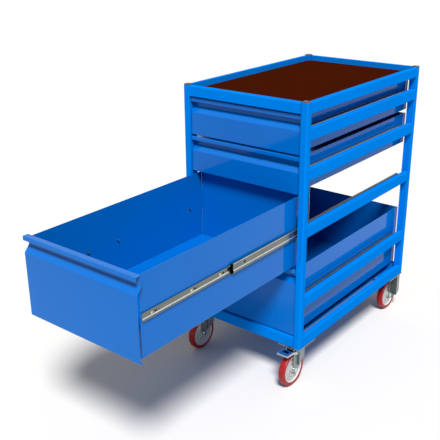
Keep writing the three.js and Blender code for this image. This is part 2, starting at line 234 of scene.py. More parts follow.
def tread_rubber(name, color):
    """Cast polyurethane: slightly translucent red, dusty and scuffed where it rolls."""
    n = Nodes(name)
    dust = n.ramp(n.noise(30.0, 8.0), 0.0, 0.35, 0.5, 0.75)
    n.feed(n.blend(dust, color, srgb(150, 70, 68)), "Base Color")
    n.feed(n.ramp(n.noise(90.0, 5.0), 0.35, 0.6), "Roughness")
    n.feed(n.bump(n.noise(260.0, 4.0), 0.06 * MM, 0.6), "Normal")
    n.set(Specular_IOR_Level=0.3)
    return n.material


def board(name, color):
    """Film-faced board: dark brown resin film with a faint grain and a fine pressed texture."""
    n = Nodes(name)
    grain = n.ramp(n.noise(9.0, 6.0, (9, 1, 1)), 0.0, 1.0)
    n.feed(n.blend(grain, scaled(color, 0.97), scaled(color, 1.03)), "Base Color")
    n.feed(n.ramp(n.noise(45.0, 4.0), 0.5, 0.65), "Roughness")
    n.feed(n.bump(n.noise(700.0, 2.0), 0.04 * MM, 0.5), "Normal")
    n.set(Specular_IOR_Level=0.0)
    return n.material


LOOKS = {
    "frame_paint": paint("frame_paint", srgb(0, 113, 204), 0.5, 0.0, srgb(0, 124, 220)),
    "drawer_paint": paint("drawer_paint", srgb(0, 96, 179), 0.08, 0.16, srgb(4, 103, 188)),
    "panel_board": board("panel_board", srgb(56, 16, 3)),
    "zinc_steel": metal("zinc_steel", srgb(138, 146, 148), 0.34, burnish_and_highlight=2.0),
    # a darker copy of zinc_steel, as painted shade: on the fork bends and the screw tips inside the drawers
    "shade_zinc": metal("shade_zinc", srgb(84, 93, 92), 0.5),
    # a paler copy of zinc_steel, as painted highlight on the slides' beads and the axle nuts; also the pedal
    # lever
    "bright_zinc": metal("bright_zinc", srgb(205, 214, 214), 0.25),
    "edging": plastic("edging", srgb(106, 98, 66), 0.6, 0.0),
    "slide_steel": metal("slide_steel", srgb(118, 122, 117), 0.2, (1, 0.04, 1)),
    "wheel_tread": tread_rubber("wheel_tread", srgb(142, 16, 22)),
    "wheel_hub": plastic("wheel_hub", srgb(186, 188, 188), 0.4),
    "wheel_web": plastic("wheel_web", srgb(160, 162, 162), 0.4),
    "pedal_plastic": plastic("pedal_plastic", srgb(0, 68, 132), 0.4),
    "black_plastic": plastic("black_plastic", srgb(4, 4, 5), 0.6, 0.0),
    "cap_plastic": plastic("cap_plastic", srgb(66, 61, 59), 0.5, 0.3),
    "yellow_zinc": metal("yellow_zinc", srgb(206, 186, 150), 0.35, metallic=0.5),
}


# ---- mesh helpers -------------------------------------------------------------------------------
SMOOTH_ANGLE = math.radians(32)
EASE_ANGLE = math.radians(35)
FLAT_ANGLE = math.radians(1)
SAME_PLACE = 1e-6                # metres within which two points are one


def smooth_by_angle(mesh):
    for polygon in mesh.polygons:
        polygon.use_smooth = True
    mesh.set_sharp_from_angle(angle=SMOOTH_ANGLE)


def piece(name, mesh, slot, body, replaces=(), bevel=0.0, segments=2, look=None):
    """A finished piece: smooth shading, eased edges, its finish, and the body it rides on.

    look names a special finish within the slot.
    """
    smooth_by_angle(mesh)
    made = bpy.data.objects.new(name, mesh)
    bpy.context.scene.collection.objects.link(made)
    made.data.materials.append(LOOKS[look or slot])
    if bevel:
        ease = made.modifiers.new("ease", "BEVEL")
        ease.width = bevel
        ease.segments = segments
        ease.limit_method = "ANGLE"
        ease.angle_limit = EASE_ANGLE
    flatten = made.modifiers.new("flatten", "WEIGHTED_NORMAL")
    flatten.weight = 100
    flatten.keep_sharp = True
    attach(made, body)
    if replaces:
        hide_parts(*replaces)
    return made


def mesh_from(name, points, faces):
    mesh = bpy.data.meshes.new(name)
    mesh.from_pydata(points, [], faces)
    work = bmesh.new()
    work.from_mesh(mesh)
    bmesh.ops.recalc_face_normals(work, faces=work.faces)
    work.to_mesh(mesh)
    work.free()
    mesh.validate()
    return mesh


def extrude(name, loop, place, start, end):
    """A closed outline (u, v) run from start to end; place(u, v, w) gives the point."""
    count = len(loop)
    points = [place(u, v, w) for w in (start, end) for u, v in loop]
    faces = [(i, (i + 1) % count, count + (i + 1) % count, count + i) for i in range(count)]
    faces += [tuple(range(count)), tuple(range(2 * count - 1, count - 1, -1))]
    return mesh_from(name, points, faces)


def along_y(u, v, w):
    return (u, w, v)


def along_x(u, v, w):
    return (w, u, v)


def along_z(u, v, w):
    return (u, v, w)


def beside(sign, middle_z):
    """Places a section (x outwards, z from middle_z) on the left (-1) or right (1) side, run along Y."""
    def place(u, v, w):
        return (sign * u, w, middle_z + v)
    return place


def box_loop(u0, v0, u1, v1):
    return [(u0, v0), (u1, v0), (u1, v1), (u0, v1)]


def circle(u, v, radius, steps, turn=0.0):
    angles = [turn + 2 * math.pi * k / steps for k in range(steps)]
    return [(u + radius * math.cos(a), v + radius * math.sin(a)) for a in angles]


def shrunk(loop, u, v, factor):
    """An outline scaled about the point (u, v)."""
    return [(u + (a - u) * factor, v + (b - v) * factor) for a, b in loop]


def two_sided(half):
    """A section from one half of it, followed by its mirror image in the second coordinate."""
    return half + [(u, -v) for u, v in half[::-1]]


def rounded(points, radius, steps=5, closed=True):
    """A polyline with its corners rounded; radius is one number or one for each point."""
    count = len(points)
    radii = radius if isinstance(radius, (list, tuple)) else [radius] * count
    line = []
    for i, point in enumerate(points):
        here = Vector(point)
        if not closed and i in (0, count - 1) or radii[i] == 0:
            line.append(tuple(here))
            continue
        before = Vector(points[i - 1]) - here
        after = Vector(points[(i + 1) % count]) - here
        half = before.angle(after) / 2
        reach = min(radii[i] / math.tan(half), before.length * 0.49, after.length * 0.49)
        r = reach * math.tan(half)
        a, b = before.normalized(), after.normalized()
        centre = here + (a + b).normalized() * (r / math.sin(half))
        first = here + a * reach - centre
        turn = first.angle_signed(here + b * reach - centre)
        for k in range(steps + 1):
            spin = Matrix.Rotation(-turn * k / steps, 2)
            line.append(tuple(centre + spin @ first))
    return line


def sheet_outline(path, thickness, bend, steps=4):
    """The closed outline of a bent sheet whose middle line follows path."""
    line = [Vector(p) for p in rounded(path, bend, steps, closed=False)]
    left, right = [], []
    for i, point in enumerate(line):
        step_in = (point - line[i - 1]).normalized() if i else None
        step_out = (line[i + 1] - point).normalized() if i + 1 < len(line) else None
        along = (step_in or step_out) + (step_out or step_in)
        along.normalize()
        side = Vector((-along.y, along.x)) * thickness / 2
        stretch = 1 / max(0.5, along.dot(step_out or step_in))
        left.append(tuple(point + side * stretch))
        right.append(tuple(point - side * stretch))
    return left + right[::-1]


def lathe(name, profile, segments, centre, closed=False):
    """A profile (radius, x) turned about an axis along X through centre."""
    points, faces = [], []
    rows = len(profile)
    for s in range(segments):
        angle = 2 * math.pi * s / segments
        for r, x in profile:
            points.append((centre[0] + x, centre[1] + r * math.cos(angle), centre[2] + r * math.sin(angle)))
    last = rows if closed else rows - 1
    for s in range(segments):
        t = (s + 1) % segments
        for k in range(last):
            m = (k + 1) % rows
            faces.append((s * rows + k, s * rows + m, t * rows + m, t * rows + k))
    mesh = mesh_from(name, points, faces)
    work = bmesh.new()
    work.from_mesh(mesh)
    bmesh.ops.remove_doubles(work, verts=work.verts, dist=SAME_PLACE)
    bmesh.ops.holes_fill(work, edges=[e for e in work.edges if e.is_boundary])
    bmesh.ops.recalc_face_normals(work, faces=work.faces)
    work.to_mesh(mesh)
    work.free()
    return mesh


def mirrored(mesh, name):
    """A copy of a mesh mirrored in X."""
    copy = mesh.copy()
    copy.name = name
    work = bmesh.new()
    work.from_mesh(copy)
    for vert in work.verts:
        vert.co.x = -vert.co.x
    bmesh.ops.reverse_faces(work, faces=work.faces)
    work.to_mesh(copy)
    work.free()
    return copy


def plate_with_hole(name, outer, inner, bottom, top):
    """A flat plate with one hole; both outlines have the same number of points."""
    count = len(outer)
    points = [(x, y, z) for z in (bottom, top) for loop in (outer, inner) for x, y in loop]
    faces = []
    for i in range(count):
        j = (i + 1) % count
        faces.append((i, j, 2 * count + j, 2 * count + i))
        faces.append((count + j, count + i, 3 * count + i, 3 * count + j))
        faces.append((i, count + i, count + j, j))
        faces.append((2 * count + i, 2 * count + j, 3 * count + j, 3 * count + i))
    return mesh_from(name, points, faces)


def merged(name, meshes):
    """Several meshes as one."""
    work = bmesh.new()
    for mesh in meshes:
        work.from_mesh(mesh)
    joined = bpy.data.meshes.new(name)
    work.to_mesh(joined)
    work.free()
    return joined


def node_mesh(node):
    """A clean copy of a CAD node's mesh, with its flat faces whole again."""
    copy = frame["nodes"][node].data.copy()
    copy.materials.clear()
    work = bmesh.new()
    work.from_mesh(copy)
    bmesh.ops.remove_doubles(work, verts=work.verts, dist=SAME_PLACE)
    bmesh.ops.dissolve_limit(work, angle_limit=FLAT_ANGLE, verts=work.verts, edges=work.edges)
    work.to_mesh(copy)
    work.free()
    return copy


def eased_node(node, slot, body, bevel, look=None):
    """A CAD node with its edges eased, standing for the node."""
    return piece(f"{node}_finish", node_mesh(node), slot, body, (node,), bevel, look=look)


# ---- frame --------------------------------------------------------------------------------------
ENDS = (("front", 1), ("rear", -1))
SHEET = 1.5 * MM
WELD_GROOVE = 1.5 * MM           # open groove at each end of a rail
POST_ROUNDS = [2 * MM, 5.5 * MM, 2 * MM, 1 * MM]   # the second one is the frame's outer corner
CAP_GAP = 0.1 * MM
CAP_TOP = 2.6 * MM
CAP_SCALE = 0.98
FLANGE_REACH = {"front": 14 * MM, "rear": 10 * MM}
FLANGE_GAP = 0.1 * MM
FLANGE_END_GAP = 0.3 * MM
RAIL_EDGE = 3 * MM
RAIL_STEP = 8 * MM               # step along a rail's inner top edge
RAIL_STEP_DROP = 6.5 * MM
TOP_RAIL_EDGE = 5 * MM
PANEL_GAP = 0.6 * MM
STRIP_HEIGHT = 6 * MM
STRIP_NEAR = 0.2 * MM            # edging strip's faces, from the base pan's edge inwards
STRIP_FAR = 3.5 * MM
# name, start and end from the frame's middle, slot, look
STRIPS = (
    ("front", -317 * MM, 181 * MM, "yellow_zinc", "edging"),
    # the clip: a black piece as painted shade, between the two parts of the strip
    ("clip", 181.5 * MM, 199.5 * MM, "black_plastic", None),
    ("rear", 200 * MM, 219 * MM, "yellow_zinc", "edging"))


def from_front(end, depth):
    """A place along Y, counted from the frame's front (end 1) or rear (end -1) face inwards."""
    return MIDDLE_Y + end * (FRONT_Y + depth - MIDDLE_Y)


def make_posts():
    loop = rounded(box_loop(0, 0, POST, POST), POST_ROUNDS, 6)
    cap_loop = shrunk(loop, POST / 2, POST / 2, CAP_SCALE)
    for name, end in ENDS:
        for side, sign in SIDES:
            def place(u, v, w):
                return (sign * (FRAME_X - POST + u), from_front(end, v), w)
            node = f"post_{name}_{side}"
            skin = extrude(f"{node}_skin", loop, place, FRAME_BOTTOM, FRAME_TOP)
            piece(f"{node}_skin", skin, "frame_paint", "frame", (node,), 0.5 * MM)
            stem = f"post_cap_{name}_{side}"
            cap = extrude(stem, cap_loop, place, FRAME_TOP + CAP_GAP, FRAME_TOP + CAP_TOP)
            piece(stem, cap, "cap_plastic", "frame", (), 0.6 * MM, 3)


def make_post_flanges():
    """A short welded flange beside each post, in the openings between the side rails."""
    stems = ["bottom_rail"] + [f"side_rail_{n}" for n in reversed(DRAWERS)] + ["top_rail"]
    inner = FRAME_X - POST + FLANGE_GAP
    for name, end in ENDS:
        depths = (POST + FLANGE_GAP, POST + FLANGE_REACH[name])
        start, stop = sorted(from_front(end, depth) for depth in depths)
        for side, sign in SIDES:
            boxes = [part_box(f"{stem}_{side}") for stem in stems]
            near, far = sorted((sign * inner, sign * (inner + SHEET)))
            loop = box_loop(near, start, far, stop)
            parts = []
            for k, (lower, upper) in enumerate(zip(boxes, boxes[1:])):
                bottom = lower[1].z - RAIL_STEP_DROP + FLANGE_END_GAP
                parts.append(extrude(f"flange_{k}", loop, along_z, bottom, upper[0].z - FLANGE_END_GAP))
            stem = f"post_flange_{name}_{side}"
            piece(stem, merged(stem, parts), "frame_paint", "frame", (), 0.3 * MM)


def rail_outline(depth, height):
    """Section of a side or bottom rail, from its outer face inwards, with a stepped inner top edge."""
    shelf = height - RAIL_STEP_DROP
    points = [(0, 0), (depth, 0), (depth, shelf), (depth - RAIL_STEP, shelf),
              (depth - RAIL_STEP, height), (0, height)]
    return rounded(points, [RAIL_EDGE, 1.5 * MM, 1 * MM, 1 * MM, 1.5 * MM, RAIL_EDGE], 5)


def top_rail_outline(depth, height):
    """Section of a top rail, from its outer face inwards: a rim, and a ledge that carries the panel."""
    panel_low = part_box("top_panel")[0]
    rail_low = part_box("top_rail_left")[0]
    lip = panel_low.x - rail_low.x - PANEL_GAP
    ledge = panel_low.z - rail_low.z - PANEL_GAP
    points = [(0, 0), (depth, 0), (depth, ledge), (lip, ledge), (lip, height), (0, height)]
    return rounded(points, [2.5 * MM, 1 * MM, 0.8 * MM, 0.8 * MM, 1.5 * MM, TOP_RAIL_EDGE], 6)


def rail(node, outline, side):
    """Runs a rail section along the node's own length, outer face outwards."""
    low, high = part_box(node)
    along_side = side in ("left", "right")
    outer, inwards = {
        "left": (low.x, 1), "right": (high.x, -1), "front": (low.y, 1), "rear": (high.y, -1)}[side]

    def place(u, v, w):
        across = outer + inwards * u
        return (across, w, low.z + v) if along_side else (w, across, low.z + v)
    depth = (high.x - low.x) if along_side else (high.y - low.y)
    start, end = (low.y, high.y) if along_side else (low.x, high.x)
    loop = outline(depth, high.z - low.z)
    skin = extrude(f"{node}_skin", loop, place, start + WELD_GROOVE, end - WELD_GROOVE)
    piece(f"{node}_skin", skin, "frame_paint", "frame", (node,), 0.7 * MM)


def make_rails():
    for side in ("front", "rear", "left", "right"):
        rail(f"top_rail_{side}", top_rail_outline, side)
        rail(f"bottom_rail_{side}", rail_outline, side)
    for number in DRAWERS:
        for side, _ in SIDES:
            rail(f"side_rail_{number}_{side}", rail_outline, side)


def make_base():
    """Painted base sheet, and on each side rail's inner face a bare edging strip broken by a black piece,
    painted shade.
    """
    eased_node("base_pan", "frame_paint", "frame", 0.3 * MM)
    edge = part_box("base_pan")[1].x
    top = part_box("bottom_rail_right")[1].z - RAIL_STEP_DROP
    for side, sign in SIDES:
        x0, x1 = sorted((sign * (edge - STRIP_FAR), sign * (edge - STRIP_NEAR)))
        loop = rounded(box_loop(x0, top - STRIP_HEIGHT, x1, top), 0.6 * MM, 3)
        for name, start, end, slot, look in STRIPS:
            stem = f"base_strip_{name}_{side}"
            strip = extrude(stem, loop, along_y, frame_y(start), frame_y(end))
            piece(stem, strip, slot, "frame", look=look)


# ---- drawers ------------------------------------------------------------------------------------
LIP_HEIGHT = 13 * MM
LIP_PROUD = 1 * MM
LIP_BEND = 1.3 * MM
RECESS_TOP_LIP = 31 * MM         # height of the lip and the recess's back together
RECESS_END = 51 * MM             # where the slanted face meets the front plane
BOTTOM_RETURN = 11 * MM
BACK_WALL_GAP = 1.5 * MM         # open slot between a side wall and the back wall
BACK_WALL_INSET = 0.5 * MM
BACK_WALL_DROP = 1.5 * MM
BACK_WALL_LIFT = 0.1 * MM


def make_front(number):
    """Hooked lip, finger recess, slanted face, front plane and bottom return, bent from one sheet."""
    node = f"drawer_{number}_front"
    low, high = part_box(node)
    h = SHEET / 2
    top = high.z
    plane = low.y + LIP_PROUD
    path = [
        (low.y + h, top - LIP_HEIGHT), (low.y + h, top - h), (high.y - h, top - h),
        (high.y - h, top - RECESS_TOP_LIP), (plane + h, top - RECESS_END), (plane + h, low.z + h),
        (plane + BOTTOM_RETURN, low.z + h)]
    bends = [0, LIP_BEND, LIP_BEND, 3 * MM, 3 * MM, 2 * MM, 0]
    skin = extrude(f"{node}_skin", sheet_outline(path, SHEET, bends), along_x, low.x, high.x)
    piece(f"{node}_skin", skin, "drawer_paint", f"drawer_{number}", (node,), 0.3 * MM)


def make_tray(number):
    """Floor and side walls bent from one sheet, and a back wall that stops short of the sides."""
    node = f"drawer_{number}_tray"
    low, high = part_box(node)
    h = SHEET / 2
    x = high.x - h
    path = [(-x, high.z), (-x, low.z + h), (x, low.z + h), (x, high.z)]
    loop = sheet_outline(path, SHEET, [0, 2 * MM, 2 * MM, 0])
    sides = extrude(f"{node}_sides", loop, along_y, low.y, high.y)
    rear = high.y - BACK_WALL_INSET
    half = high.x - SHEET - BACK_WALL_GAP
    back_loop = box_loop(-half, rear - SHEET, half, rear)
    bottom = low.z + SHEET + BACK_WALL_LIFT
    back = extrude(f"{node}_back", back_loop, along_z, bottom, high.z - BACK_WALL_DROP)
    skin = merged(f"{node}_skin", [sides, back])
    piece(f"{node}_skin", skin, "drawer_paint", f"drawer_{number}", (node,), 0.25 * MM)


# ---- slides -------------------------------------------------------------------------------------
SLIDE_SHEET = 1.2 * MM
SLIDE_BEND = 1.2 * MM
DRAWER_MEMBER_HALF = 13 * MM     # half its height
DRAWER_MEMBER_GAP = 0.1 * MM     # between the drawer's side wall and its slide member
DRAWER_MEMBER_SPAN = (-356 * MM, 328 * MM)
# pressed beads: both sides from the member's outer face, then from its lower or upper edge
LOWER_BEAD = ((-1.5 * MM, 0), (9 * MM, 12.5 * MM))
UPPER_BEAD = ((-0.9 * MM, 0.2 * MM), (-2.8 * MM, -1.2 * MM))
DRAWER_BEAD = ((0, 0.9 * MM), (2.5 * MM, 8.5 * MM))
BEAD_END_GAP = 0.5 * MM
SCREW_PLACES = (-320 * MM, -164 * MM, -40 * MM, 308 * MM)
SCREW_HEAD = [(0, 0), (3.9 * MM, 0), (3.9 * MM, 0.825 * MM), (3.12 * MM, 1.35 * MM),
              (1.755 * MM, 1.5 * MM)]
SCREW_SHANK = [(0, 0), (2.4 * MM, 0), (2.4 * MM, -7 * MM), (1.6 * MM, -8 * MM), (0, -8 * MM)]
SLOT_SPAN = (11 * MM, 19 * MM)   # punched slot, from its screw backwards
SLOT_HALF = 2.3 * MM
PILOT_PLACE = 27 * MM            # small punched hole, from its screw backwards
PILOT_RADIUS = 1.6 * MM
# punched slots and pilot holes are drawn as black discs: painted shade standing for the holes
PUNCHED = (-0.1 * MM, 0.15 * MM)  # dark discs that stand for the punched shapes, from the face outwards
CLIP_THICKNESS = 1.6 * MM
CLIP_SPAN = (-7 * MM, 1 * MM)    # retainer's clip and tab, from the middle member's front end
TAB_SPAN = (-13 * MM, -7 * MM)
TAB_LOW, TAB_HIGH = -6 * MM, 5 * MM
TAB_THICKNESS = 1.4 * MM
RETAINER_DEPTH = 2.6 * MM        # retainer's face behind the middle member's face
HOLE_PLACE = 57 * MM             # hole in the middle member, from its front end
HOLE_RISE = 3 * MM
HOLE_RADIUS = 3.6 * MM
HOLE_DEPTH = (2.4 * MM, 1.2 * MM)
GUIDE_SPAN = (-0.4 * MM, 16 * MM)   # from the outer member's front end
GUIDE_INSET = 3 * MM             # from the member's upper and lower edge
GUIDE_THICKNESS = 1.4 * MM


def slide_sections(number):
    """Middle lines of the three members, as (x, z) with x counted outwards and z from the slide's middle."""
    outer_low, outer_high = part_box(f"slide_{number}_right_outer")
    middle_low, middle_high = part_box(f"slide_{number}_right_middle")
    t = SLIDE_SHEET / 2
    top = (outer_high.z - outer_low.z) / 2 - t
    outer = two_sided([
        (outer_low.x + t, top - 2 * MM), (outer_low.x + 2 * MM, top), (outer_high.x - 2.5 * MM, top),
        (outer_high.x - t, top - 3.5 * MM)])
    top = (middle_high.z - middle_low.z) / 2 - t
    bulge = middle_high.x - t
    web = bulge - 1.8 * MM
    inner = middle_low.x + t
    middle = [
        (inner, top - 3 * MM), (inner + 2 * MM, top), (bulge - 1.5 * MM, top), (bulge, top - 1.5 * MM),
        (bulge, top - 2.5 * MM), (web, top - 4 * MM), (web, 13 * MM - top), (bulge, 9 * MM - top),
        (bulge, 2 * MM - top), (bulge - 1.5 * MM, -top), (inner + 2 * MM, -top), (inner, 3 * MM - top)]
    top = DRAWER_MEMBER_HALF - t
    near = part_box(f"drawer_{number}_tray")[1].x + DRAWER_MEMBER_GAP + t
    drawer = two_sided([
        (near + 4.6 * MM, top - 1.5 * MM), (near + 3 * MM, top), (near + 1.2 * MM, top - 1 * MM),
        (near, top - 4 * MM)])
    return outer, middle, drawer


def member_face(number):
    """Outer face of the right drawer member."""
    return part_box(f"drawer_{number}_tray")[1].x + DRAWER_MEMBER_GAP + SLIDE_SHEET


def member(name, path, place, start, end, body, replaces=()):
    loop = sheet_outline(path, SLIDE_SHEET, SLIDE_BEND, 3)
    piece(name, extrude(name, loop, place, start, end), "slide_steel", body, replaces, 0.2 * MM)


def highlight_beads(name, face, beads, place, start, end, body):
    """Pressed beads along a member, in paler zinc as a painted highlight; each has the edge it is counted
    from.
    """
    parts = []
    for k, (edge, (x_span, z_span)) in enumerate(beads):
        corners = box_loop(face + x_span[0], edge + z_span[0], face + x_span[1], edge + z_span[1])
        loop = rounded(corners, 0.35 * MM, 2)
        parts.append(extrude(f"{name}_{k}", loop, place, start + BEAD_END_GAP, end - BEAD_END_GAP))
    piece(name, merged(name, parts), "slide_steel", body, look="bright_zinc")


def make_slides(number):
    outer, middle, drawer = slide_sections(number)
    drawer_body, middle_body = f"drawer_{number}", f"slide_middles_{number}"
    start, end = [frame_y(y) + drawer_shift(number) for y in DRAWER_MEMBER_SPAN]
    for side, sign in SIDES:
        stem = f"slide_{number}_{side}"
        low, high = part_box(f"{stem}_outer")
        mid_low, mid_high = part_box(f"{stem}_middle")
        z = (low.z + high.z) / 2
        place = beside(sign, z)
        member(f"{stem}_outer_skin", outer, place, low.y, high.y, "frame", (f"{stem}_outer",))
        member(f"{stem}_middle_skin", middle, place, mid_low.y, mid_high.y, middle_body,
               (f"{stem}_middle",))
        member(f"{stem}_drawer_member", drawer, place, start, end, drawer_body)
        half = (mid_high.z - mid_low.z) / 2
        highlight_beads(
            f"{stem}_middle_bands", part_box(f"slide_{number}_right_middle")[1].x,
            [(-half, LOWER_BEAD), (half, UPPER_BEAD)], place, mid_low.y, mid_high.y, middle_body)
        highlight_beads(
            f"{stem}_drawer_bands", member_face(number),
            [(-DRAWER_MEMBER_HALF, DRAWER_BEAD)], place, start, end, drawer_body)
        make_retainer(number, stem, place, mid_low.y, middle_body)
        make_middle_hole(number, stem, sign, z, mid_low.y, middle_body)
        make_guide(number, stem, place)
        make_slide_screws(number, stem, sign, z)


def make_retainer(number, stem, place, middle_front, body):
    """Black ball retainer at the middle member's front end."""
    middle_low, middle_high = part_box(f"slide_{number}_right_middle")
    half = (middle_high.z - middle_low.z) / 2
    near = middle_low.x + 1 * MM
    face = middle_high.x - RETAINER_DEPTH
    path = two_sided([(near, half - 5 * MM), (near, half - 2.2 * MM), (face, half - 2.2 * MM)])
    clip_loop = sheet_outline(path, CLIP_THICKNESS, SLIDE_BEND, 3)
    clip_start, clip_end = [middle_front + y for y in CLIP_SPAN]
    clip = extrude(f"{stem}_clip", clip_loop, place, clip_start, clip_end)
    tab_start, tab_end = [middle_front + y for y in TAB_SPAN]
    tab_loop = box_loop(face - TAB_THICKNESS, TAB_LOW, face, TAB_HIGH)
    tab = extrude(f"{stem}_tab", tab_loop, place, tab_start, tab_end)
    piece(f"{stem}_retainer", merged(f"{stem}_retainer", [clip, tab]), "black_plastic", body, (), 0.3 * MM)


def make_middle_hole(number, stem, sign, z, middle_front, body):
    """Dark disc, painted shade that stands for the hole in the middle member's web."""
    back, depth = HOLE_DEPTH
    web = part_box(f"slide_{number}_right_middle")[1].x - back
    loop = circle(middle_front + HOLE_PLACE, z + HOLE_RISE, HOLE_RADIUS, 18)
    hole = extrude(f"{stem}_middle_hole", loop, along_x, *sorted((sign * web, sign * (web + depth))))
    piece(f"{stem}_middle_hole", hole, "black_plastic", body)


def make_guide(number, stem, place):
    """Black guide in the outer member's front end."""
    low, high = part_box(f"slide_{number}_right_outer")
    half = (high.z - low.z) / 2
    path = two_sided([(low.x, half - GUIDE_INSET), (high.x - 2 * MM, half - GUIDE_INSET)])
    loop = sheet_outline(path, GUIDE_THICKNESS, 1.5 * MM, 3)
    start, end = [low.y + y for y in GUIDE_SPAN]
    guide = extrude(f"{stem}_guide", loop, place, start, end)
    piece(f"{stem}_guide", guide, "black_plastic", "frame", (), 0.3 * MM)


def make_slide_screws(number, stem, sign, z):
    """Screw heads, the shanks' ends inside the drawer in darker zinc as painted shade, and punched slots
    beside each screw as black discs of painted shade.
    """
    face = member_face(number)
    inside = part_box(f"drawer_{number}_tray")[1].x - SHEET
    start, end = [face + x for x in PUNCHED]
    heads, tips, slots = [], [], []
    for k, from_middle in enumerate(SCREW_PLACES):
        y = frame_y(from_middle) + drawer_shift(number)
        heads.append(lathe(f"{stem}_head_{k}", SCREW_HEAD, 20, (face, y, z)))
        tips.append(lathe(f"{stem}_tip_{k}", SCREW_SHANK, 16, (inside, y, z)))
        front, back = [y + place for place in SLOT_SPAN]
        slot_loop = rounded(box_loop(front, z - SLOT_HALF, back, z + SLOT_HALF), 2.2 * MM, 5)
        slots.append(extrude(f"{stem}_slot_{k}", slot_loop, along_x, start, end))
        pilot_loop = circle(y + PILOT_PLACE, z, PILOT_RADIUS, 14)
        slots.append(extrude(f"{stem}_hole_{k}", pilot_loop, along_x, start, end))
    for name, parts, slot, look in (
            ("screws", heads, "yellow_zinc", None), ("screw_tips", tips, "zinc_steel", "shade_zinc"),
            ("slots", slots, "black_plastic", None)):
        mesh = merged(f"{stem}_{name}", parts)
        if sign < 0:
            mesh = mirrored(mesh, f"{stem}_{name}")
        piece(f"{stem}_{name}", mesh, slot, f"drawer_{number}", look=look)


# ---- casters ------------------------------------------------------------------------------------
TREAD_HALF = 12 * MM             # half the tyre's width
RIM_RADIUS = 51 * MM
TYRE_ROUNDS = [0, 1 * MM, 2 * MM, 2.5 * MM, 4 * MM]
# one half of the wheel centre's section from bore to rim, as (radius, x); the web ends in the rim's groove
CENTRE_SECTION = [
    (5 * MM, 13 * MM), (11 * MM, 13 * MM), (12.5 * MM, 12 * MM), (13 * MM, 7 * MM), (15 * MM, 5 * MM),
    (22 * MM, 4.5 * MM), (24 * MM, 8.5 * MM), (28 * MM, 8.5 * MM), (30 * MM, 6.5 * MM),
    (41.5 * MM, 7.5 * MM), (43 * MM, 5.5 * MM), (45 * MM, 5.5 * MM), (45.6 * MM, 10.4 * MM),
    (49.6 * MM, 11.2 * MM), (49.9 * MM, 9.5 * MM)]
WEB_END = 10                     # index of the point that web and rim share
BEARING_SECTION = [
    (5 * MM, 13.2 * MM), (9.5 * MM, 13.2 * MM), (9.8 * MM, 12.6 * MM), (9.8 * MM, -12.6 * MM),
    (9.5 * MM, -13.2 * MM), (5 * MM, -13.2 * MM)]
CHEEK_FACE = 16.3 * MM           # outer face of a fork's cheek, from the wheel's middle
WASHER_SECTION = [(4 * MM, 0), (8.5 * MM, 0), (8.5 * MM, 1.0 * MM), (4 * MM, 1.2 * MM)]
NUT_ACROSS = 14 * MM
NUT_TURN = 0.3
NUT_SPAN = (1.1 * MM, 5.2 * MM)  # nut and bore, outwards from the cheek's face
# bore: a thin black disc, painted shade for the hole in the axle's end
BORE_PLACE = 5.1 * MM
BORE_SECTION = [(0, 0), (4.4 * MM, 0), (4.4 * MM, 0.3 * MM), (0, 0.3 * MM)]
# how far the fork's wing stands out, where it starts behind the axle, and its lower end above the axle
FORK_WINGS = {"front": (6 * MM, 16 * MM, 12 * MM), "rear": (20 * MM, 18 * MM, -6 * MM)}
# bend strip: darker zinc laid on each fork cheek's bent step, as painted shade
BEND_TOP_DROP = 6 * MM
BEND_END_GAP = 0.5 * MM          # at its lower end
BEND_SIDE_GAP = 0.3 * MM         # short of the wing's face
BEND_NEAR = (-2.1 * MM, -1.5 * MM)   # its faces along Y, at the cheek and at the wing
BEND_FAR = (0.7 * MM, 1.3 * MM)
PAD_MARGIN = 4 * MM              # from the pedal's sides
PAD_SPAN = (5 * MM, 33 * MM)     # pad and its hole, from the pedal's tip
PAD_HOLE_SPAN = (15 * MM, 30 * MM)
PAD_HOLE_HALF = 12 * MM
PAD_LOW, PAD_HIGH, INSERT_HIGH = 0.1 * MM, 3.2 * MM, 1.2 * MM   # above the lever's top
INSERT_SCALE = 0.9
HOUSING_HALF = 13 * MM
HOUSING_SPAN = (-22 * MM, -9 * MM)   # from the lever's rear end
HOUSING_LIFT = 9 * MM
PIN_RADIUS = 3 * MM
PIN_PROUD = 1.5 * MM
PIN_PLACE = (-5 * MM, 7 * MM)    # along Y from the lever's rear end, and above its underside


def wheel_centre(end, side):
    low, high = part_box(f"caster_wheel_{end}_{side}")
    return (low + high) / 2


def make_wheel(end, side):
    """Red tyre, pale wheel centre with a grooved rim, and a dark bearing."""
    node = f"caster_wheel_{end}_{side}"
    body = f"wheel_{end}_{side}"
    low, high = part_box(node)
    centre = wheel_centre(end, side)
    radius = (high.z - low.z) / 2
    half_section = [
        (RIM_RADIUS - 2 * MM, TREAD_HALF - 3 * MM), (RIM_RADIUS, TREAD_HALF - 0.6 * MM),
        (RIM_RADIUS + 4 * MM, TREAD_HALF), (radius - 3 * MM, TREAD_HALF), (radius, TREAD_HALF - 4.5 * MM)]
    section = rounded(two_sided(half_section), TYRE_ROUNDS + TYRE_ROUNDS[::-1], 4, closed=False)
    tyre = lathe(f"{node}_tyre", section, 96, centre, closed=True)
    piece(f"{node}_tyre", tyre, "wheel_tread", body, (node,))
    for name, half_section, look in (
            ("centre", CENTRE_SECTION[:WEB_END + 1], "wheel_web"),
            ("rim", CENTRE_SECTION[WEB_END:], "wheel_hub")):
        section = two_sided(half_section)
        section = rounded(section, [0] + [1 * MM] * (len(section) - 2) + [0], 3, closed=False)
        ring = lathe(f"{node}_{name}", section, 72, centre, closed=True)
        piece(f"{node}_{name}", ring, "wheel_hub", body, look=look)
    ring = lathe(f"{node}_bearing", BEARING_SECTION, 40, centre, closed=True)
    piece(f"{node}_bearing", ring, "black_plastic", body)


def facing(section, sign):
    """A lathe section laid out towards the right (1) or the left (-1)."""
    return [(r, sign * x) for r, x in section]


